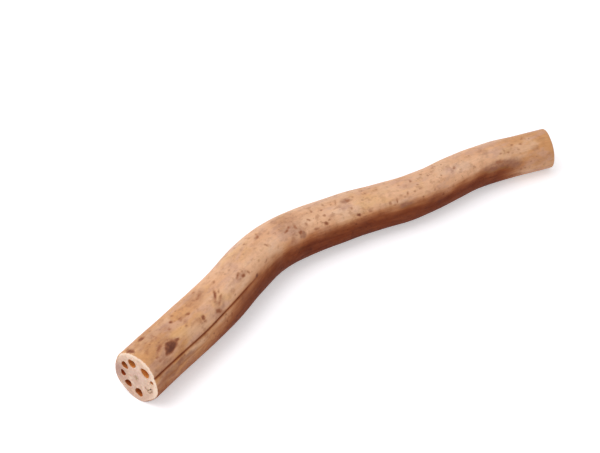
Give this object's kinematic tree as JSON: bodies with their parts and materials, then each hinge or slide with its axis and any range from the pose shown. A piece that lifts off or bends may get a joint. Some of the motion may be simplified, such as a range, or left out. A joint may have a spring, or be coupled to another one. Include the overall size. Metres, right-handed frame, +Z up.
{
  "type": "lotus root",
  "caption": "Slender lotus root cut across at both ends and lying on its side: an S-bent tan stem with brown flecks, a crease and a ring of air channels.",
  "frame": {"origin": "middle of the bounding box in plan, on the surface that the root lies on", "axes": "+X along the root's length from the wide cut to the narrow cut, +Y to the side that its main bend bulges to, +Z up"},
  "size_m": [0.375, 0.0724, 0.0329],
  "materials": {
    "root": "thin satin skin, tan with brown flecks and scars; pale cream flesh at the cuts"
  },
  "bodies": {
    "root": {"lotus_root": "root"}
  },
  "joints": []
}
